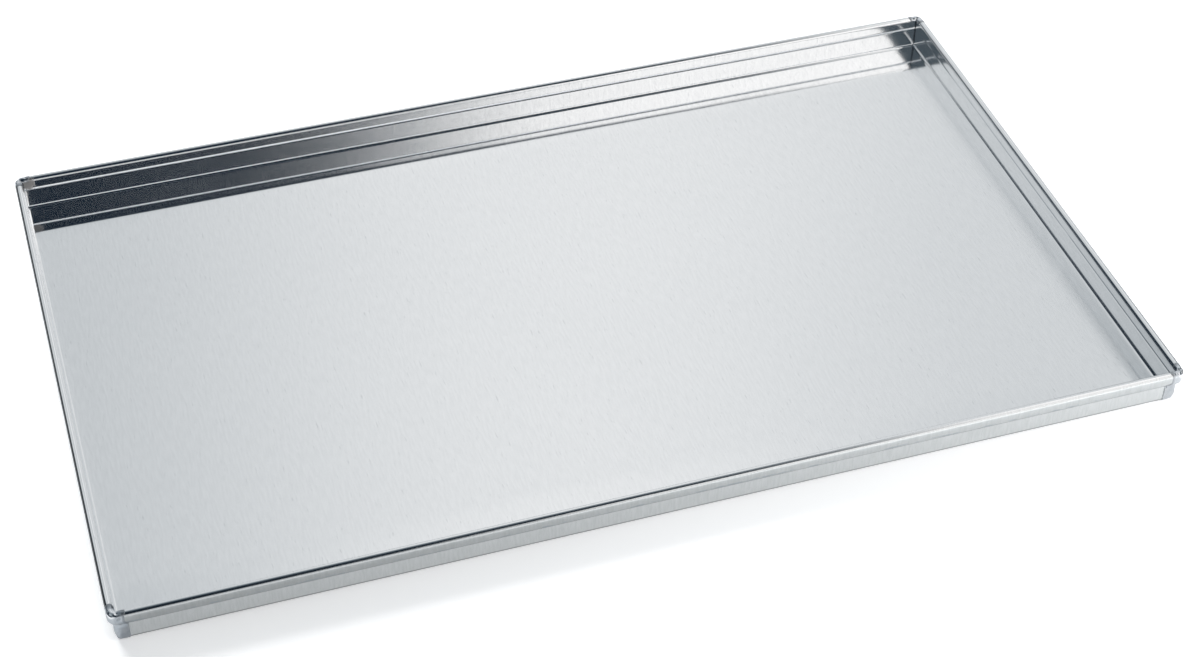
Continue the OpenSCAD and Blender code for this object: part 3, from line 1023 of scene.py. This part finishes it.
def corner_weld(name, corner, swells, lumpiness, finish, sheet, material):
    """Weld metal at one corner: it laps on to the sheet, and swells more the further it stands off it."""
    bm = bmesh.new()
    bm.from_mesh(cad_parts["corner_" + name].data)
    bmesh.ops.remove_doubles(bm, verts=bm.verts, dist=SAME_POINT)
    fill_seam(bm, corner, lumpiness)
    bm = voxel_skin(bm, WELD_CELL)
    dull = bm.verts.layers.float.new("dull")
    toe = bm.verts.layers.float.new("toe")
    stand = {vert: sheet.find_nearest(vert.co)[3] for vert in bm.verts}
    free = [vert for vert in bm.verts if stand[vert] > WELD_FREE]
    for _ in range(WELD_SMOOTHING):
        bmesh.ops.smooth_vert(
            bm, verts=free, factor=0.5, use_axis_x=True, use_axis_y=True, use_axis_z=True
        )
    bm.normal_update()
    low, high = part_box("corner_" + name)
    for vert in bm.verts:
        freedom = smooth_step(stand[vert], 0, 2 * WELD_FREE)
        here = from_corner(vert.co, corner)
        parting = finish.parting * parting_at(here)
        vert[dull] = dull_at(here, finish)
        # painted shade along the weld's toe and in the groove between its lobes
        vert[toe] = max(1 - smooth_step(stand[vert], 0, WELD_TOE), PAINTED_PARTING_SHADE * parting)
        here = rounded_leg(here, finish.foot)
        vert.co.x = corner.x * (here.y + WALL_IN_X)
        vert.co.y = corner.y * (here.x + WALL_IN_Y)
        swell = swell_at(vert.co, corner, swells) - WELD_PARTING * parting
        vert.co += vert.normal * (lap_at(vert.co) * (1 - freedom) + freedom * swell)
        for axis in range(3):
            vert.co[axis] = min(max(vert.co[axis], low[axis]), high[axis])
    return finished_piece(bm, name, material, "corner_" + name)


def corner_welds(sheet, material):
    """The four welds, each with its own swells, seam and dullness."""
    for weld in WELDS:
        corner_weld(*weld, sheet, material)


# The stage

LENS = 68.64
SENSOR = 36
CAMERA_PLACE = Vector((-0.26825, -0.85251, 0.78598))
CAMERA_YAW = math.radians(18.342)
CAMERA_PITCH = math.radians(42.042)
CAMERA_ROLL = math.radians(0.763)


def place_camera():
    """The camera that took the photograph, fitted to the tray's rim and corners."""
    data = bpy.data.cameras.new("camera")
    data.lens = LENS
    data.sensor_width = SENSOR
    camera = put("camera", data)
    turn = Matrix.Rotation(-CAMERA_YAW, 4, "Z")
    tilt = Matrix.Rotation(math.pi / 2 - CAMERA_PITCH, 4, "X")
    roll = Matrix.Rotation(CAMERA_ROLL, 4, "Z")
    camera.matrix_world = Matrix.Translation(CAMERA_PLACE) @ turn @ tilt @ roll
    bpy.context.scene.camera = camera


FLOOR_SIZE = 30
FLOOR_Z = -0.02 * MM
FLOOR_COLOUR = (0.92, 0.92, 0.92, 1)

# The floor's own light, for the metal that mirrors it and for the camera
FLOOR_LIFT_MIRRORED = 0.1
FLOOR_LIFT_SEEN = 0.34


def lay_floor():
    """A plain pale floor that keeps the tray's shadow."""
    bm = bmesh.new()
    bmesh.ops.create_grid(bm, x_segments=1, y_segments=1, size=FLOOR_SIZE)
    bmesh.ops.translate(bm, vec=(0, 0, FLOOR_Z), verts=bm.verts)
    floor = put("floor", mesh_from(bm, "floor"))
    material = bpy.data.materials.new("floor_paper")
    material.use_nodes = True
    tree = material.node_tree
    tree.nodes.clear()
    paper = add_node(tree, "ShaderNodeBsdfDiffuse", {"Color": FLOOR_COLOUR})
    path = add_node(tree, "ShaderNodeLightPath").outputs
    mirrored = maths(tree, "MAXIMUM", path["Is Glossy Ray"], path["Is Transmission Ray"])
    mirrored = times(tree, mirrored, FLOOR_LIFT_MIRRORED)
    lifted = raised(tree, mirrored, path["Is Camera Ray"], FLOOR_LIFT_SEEN)
    lift = add_node(tree, "ShaderNodeEmission", {"Strength": lifted})
    both = add_node(tree, "ShaderNodeAddShader", {0: paper.outputs[0], 1: lift.outputs[0]})
    add_node(tree, "ShaderNodeOutputMaterial", {"Surface": both.outputs[0]})
    floor.data.materials.append(material)


# A soft-edged bright area of the studio: between which values of each coordinate of a direction it lies,
# as the two ends of its rise and the two ends of its fall. Azimuths and elevations are in degrees, and
# azimuths grow towards +X. Across and along are the direction's own x and y.
Panel = namedtuple("Panel", "strength windows")
PANELS = [
    Panel(0.6, {"back_azimuth": (-50, -34, 50, 75), "elevation": (12, 24, 58, 74)}),
    Panel(0.7, {"back_azimuth": (-2, 24, 50, 75), "elevation": (12, 24, 58, 74)}),
    Panel(0.88, {"back_azimuth": (-22, 17, 18, 58), "elevation": (18, 30, 52, 68)}),
    Panel(0.74, {"back_azimuth": (-46, -30, -22, -6), "elevation": (22, 34, 52, 68)}),
    Panel(0.75, {"back_azimuth": (-15, -5, 47, 53), "elevation": (-8, -2, 16, 24)}),
    Panel(
        1.1, {"across": (0.31, 0.38, 0.55, 0.8), "along": (-3, -2, 0.2, 0.5), "elevation": (0, 6, 68, 78)}
    ),
    Panel(1.13, {"front_azimuth": (11, 14.3, 43, 53), "elevation": (-10, 0, 38, 40)}),
    Panel(1.0, {"front_azimuth": (-60, -40, 30, 50), "elevation": (3, 6, 15, 19)}),
    Panel(0.1, {"front_azimuth": (-55, -40, -15, -6), "elevation": (15, 25, 42, 52)}),
    Panel(0.42, {"back_azimuth": (-140, -118, -75, -50), "elevation": (14, 28, 60, 76)}),
    Panel(0.42, {"along": (-0.45, 0.7, 2, 3), "elevation": (30, 50, 100, 110)}),
]
STUDIO_DARK = (0.012, 0.021, 0.034)

# The dimmer a part of the studio, the cooler it is
RED_FALL = 1.1
BLUE_FALL = 0.93


def direction_coordinates(tree):
    """The coordinates that the panels are placed by."""
    parts = parts_of(tree, add_node(tree, "ShaderNodeTexCoord").outputs["Generated"])
    across, along, up = parts["X"], parts["Y"], parts["Z"]
    toward_front = times(tree, along, -1.0)
    return {
        "across": across,
        "along": along,
        "back_azimuth": maths(tree, "DEGREES", maths(tree, "ARCTAN2", across, along)),
        "front_azimuth": maths(tree, "DEGREES", maths(tree, "ARCTAN2", across, toward_front)),
        "elevation": maths(tree, "DEGREES", maths(tree, "ARCSINE", up)),
    }


def light_studio():
    """A dim studio with soft bright panels."""
    world = bpy.data.worlds.new("studio")
    bpy.context.scene.world = world
    world.use_nodes = True
    tree = world.node_tree
    tree.nodes.clear()
    coordinates = direction_coordinates(tree)
    brightest = 0.0
    for panel in PANELS:
        level = panel.strength
        for coordinate, edges in panel.windows.items():
            rise = ramp(tree, coordinates[coordinate], *edges[:2])
            fall = ramp(tree, coordinates[coordinate], *edges[2:], 1.0, 0.0)
            level = times(tree, times(tree, rise, fall), level)
        brightest = maths(tree, "MAXIMUM", brightest, level)
    red, green, blue = STUDIO_DARK
    tinted = {
        "X": maths(tree, "MAXIMUM", maths(tree, "POWER", brightest, RED_FALL), red),
        "Y": maths(tree, "MAXIMUM", brightest, green),
        "Z": maths(tree, "MAXIMUM", maths(tree, "POWER", brightest, BLUE_FALL), blue),
    }
    light = add_node(tree, "ShaderNodeCombineXYZ", tinted)
    studio = add_node(tree, "ShaderNodeBackground", {"Color": light.outputs[0]})
    add_node(tree, "ShaderNodeOutputWorld", {"Surface": studio.outputs[0]})


# A lamp that lights the floor and stays out of the metal's reflections
Lamp = namedtuple("Lamp", "name place size power")
LAMPS = [
    Lamp("fill", Vector((-0.45, 1.3, 1.1)), 1.0, 32),
    Lamp("kicker", Vector((0.6, -0.55, 0.35)), 0.3, 4.2),
]


def add_lamps():
    """The lamps, each aimed at the middle of the tray."""
    for lamp in LAMPS:
        data = bpy.data.lights.new(lamp.name, "AREA")
        data.size = lamp.size
        data.energy = lamp.power
        placed = put(lamp.name, data)
        placed.location = lamp.place
        placed.rotation_euler = (-lamp.place).to_track_quat("-Z", "Y").to_euler()
        placed.visible_glossy = False


# The scene

place_camera()
bpy.context.scene.view_settings.view_transform = "Standard"
groups = {
    "rolled_grain": rolled_grain_group(),
    "handling_marks": handling_marks_group(),
    "soft_blotches": soft_blotches_group(),
}
pan = pan_sheet(sheet_aluminium(groups))
corner_welds(surface_of(pan), weld_aluminium(groups))
wire_finish = wire_steel(groups)
for side in ("front", "back", "left", "right"):
    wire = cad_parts["rim_wire_" + side]
    wire.data.materials.clear()
    wire.data.materials.append(wire_finish)
lay_floor()
light_studio()
add_lamps()
